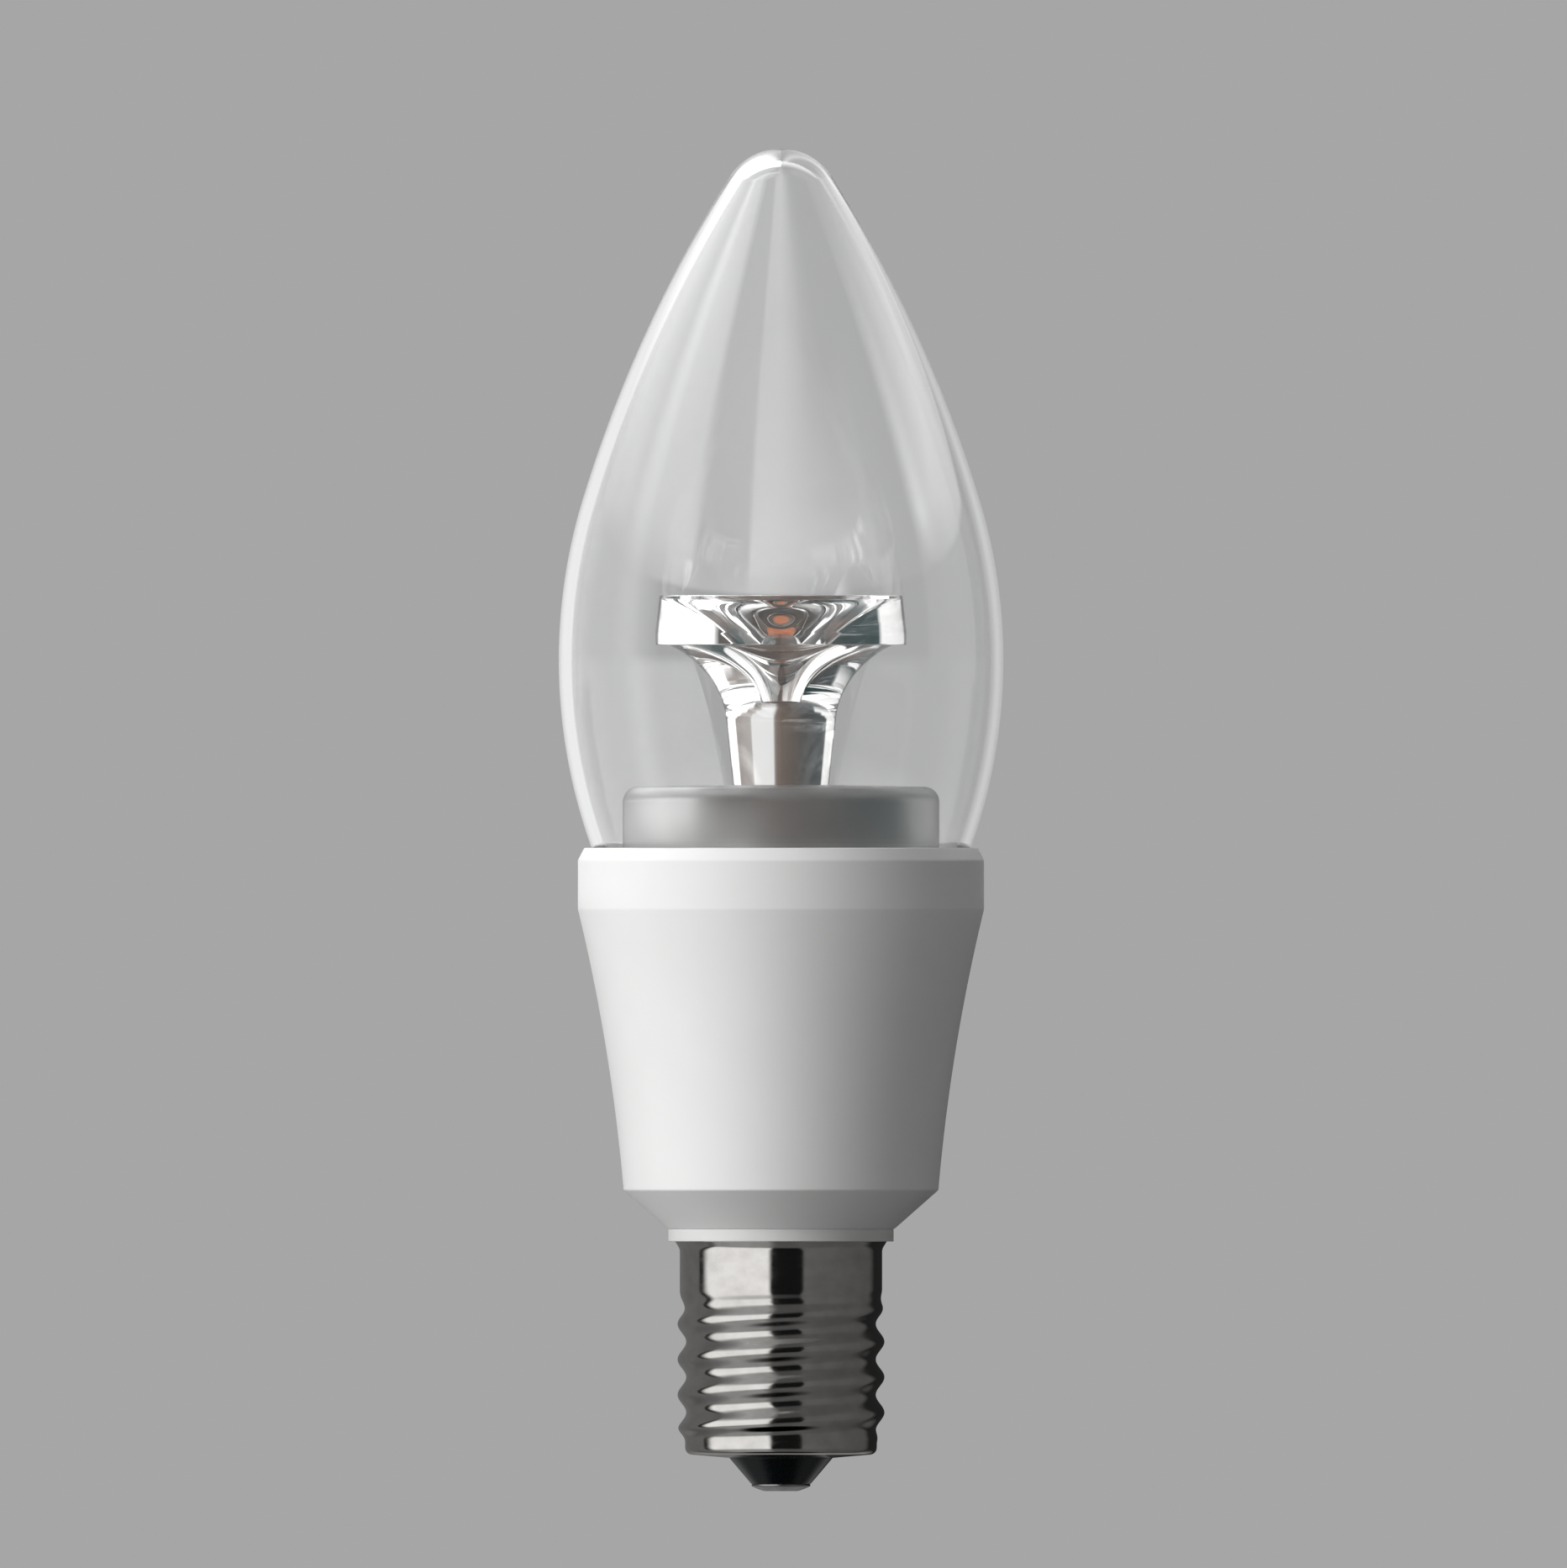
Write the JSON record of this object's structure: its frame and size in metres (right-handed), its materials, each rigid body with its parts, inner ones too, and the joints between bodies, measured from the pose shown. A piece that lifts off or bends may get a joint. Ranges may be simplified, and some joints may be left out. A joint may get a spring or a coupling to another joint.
{
  "type": "candle bulb",
  "caption": "Clear candle-shaped lamp with a solid light guide, a white tapered heat sink and a small Edison screw cap.",
  "frame": {"origin": "middle of the centre contact's lowest face, on the lamp's axis", "axes": "+Z along the lamp's axis from the cap to the globe's tip; the two board leads lie to either side along X"},
  "size_m": [0.0354, 0.0354, 0.1071],
  "materials": {
    "globe_clear": "clear, polished",
    "guide_clear": "clear, optical polish",
    "cover_frosted": "frosted",
    "sealant_white": "satin",
    "ceramic_tan": "ceramic",
    "phosphor_amber": "satin",
    "board_bronze": "bronze mask",
    "pad_grey": "matte",
    "screw_steel": "plated",
    "plate_aluminium": "machined",
    "sink_white": "matte white",
    "ring_white": "moulded",
    "shell_plated": "nickel plated",
    "insulator_black": "glossy",
    "contact_plated": "nickel plated",
    "case_white": "moulded",
    "board_green": "satin",
    "can_dark": "sleeved",
    "ferrite": "sintered",
    "copper": "enamelled",
    "package_black": "moulded",
    "film_brown": "dipped",
    "chip_brown": "ceramic",
    "fuse_green": "lacquered",
    "lead_white": "insulated",
    "lead_red": "insulated",
    "solder": "satin"
  },
  "bodies": {
    "root": {"globe": "globe_clear", "globe_sealant": "sealant_white", "light_guide": "guide_clear", "lens_cover": "cover_frosted", "led_carrier": "ceramic_tan", "led_phosphor": "phosphor_amber", "led_board": "board_bronze", "thermal_pad": "pad_grey", "board_screws": "screw_steel", "heat_plate": "plate_aluminium", "heat_sink": "sink_white", "insulating_ring": "ring_white", "screw_shell": "shell_plated", "cap_insulator": "insulator_black", "centre_contact": "contact_plated", "driver_case": "case_white", "case_lid": "case_white", "driver_board": "board_green", "bulk_capacitor": "can_dark", "output_capacitor": "can_dark", "transformer_core": "ferrite", "transformer_winding": "copper", "bridge_rectifier": "package_black", "film_capacitor": "film_brown", "control_chip": "package_black", "output_diode": "package_black", "chip_parts": "chip_brown", "fuse_resistor": "fuse_green", "led_leads": "lead_white", "lead_solder": "solder", "live_lead": "lead_red", "neutral_lead": "lead_white"}
  },
  "joints": []
}
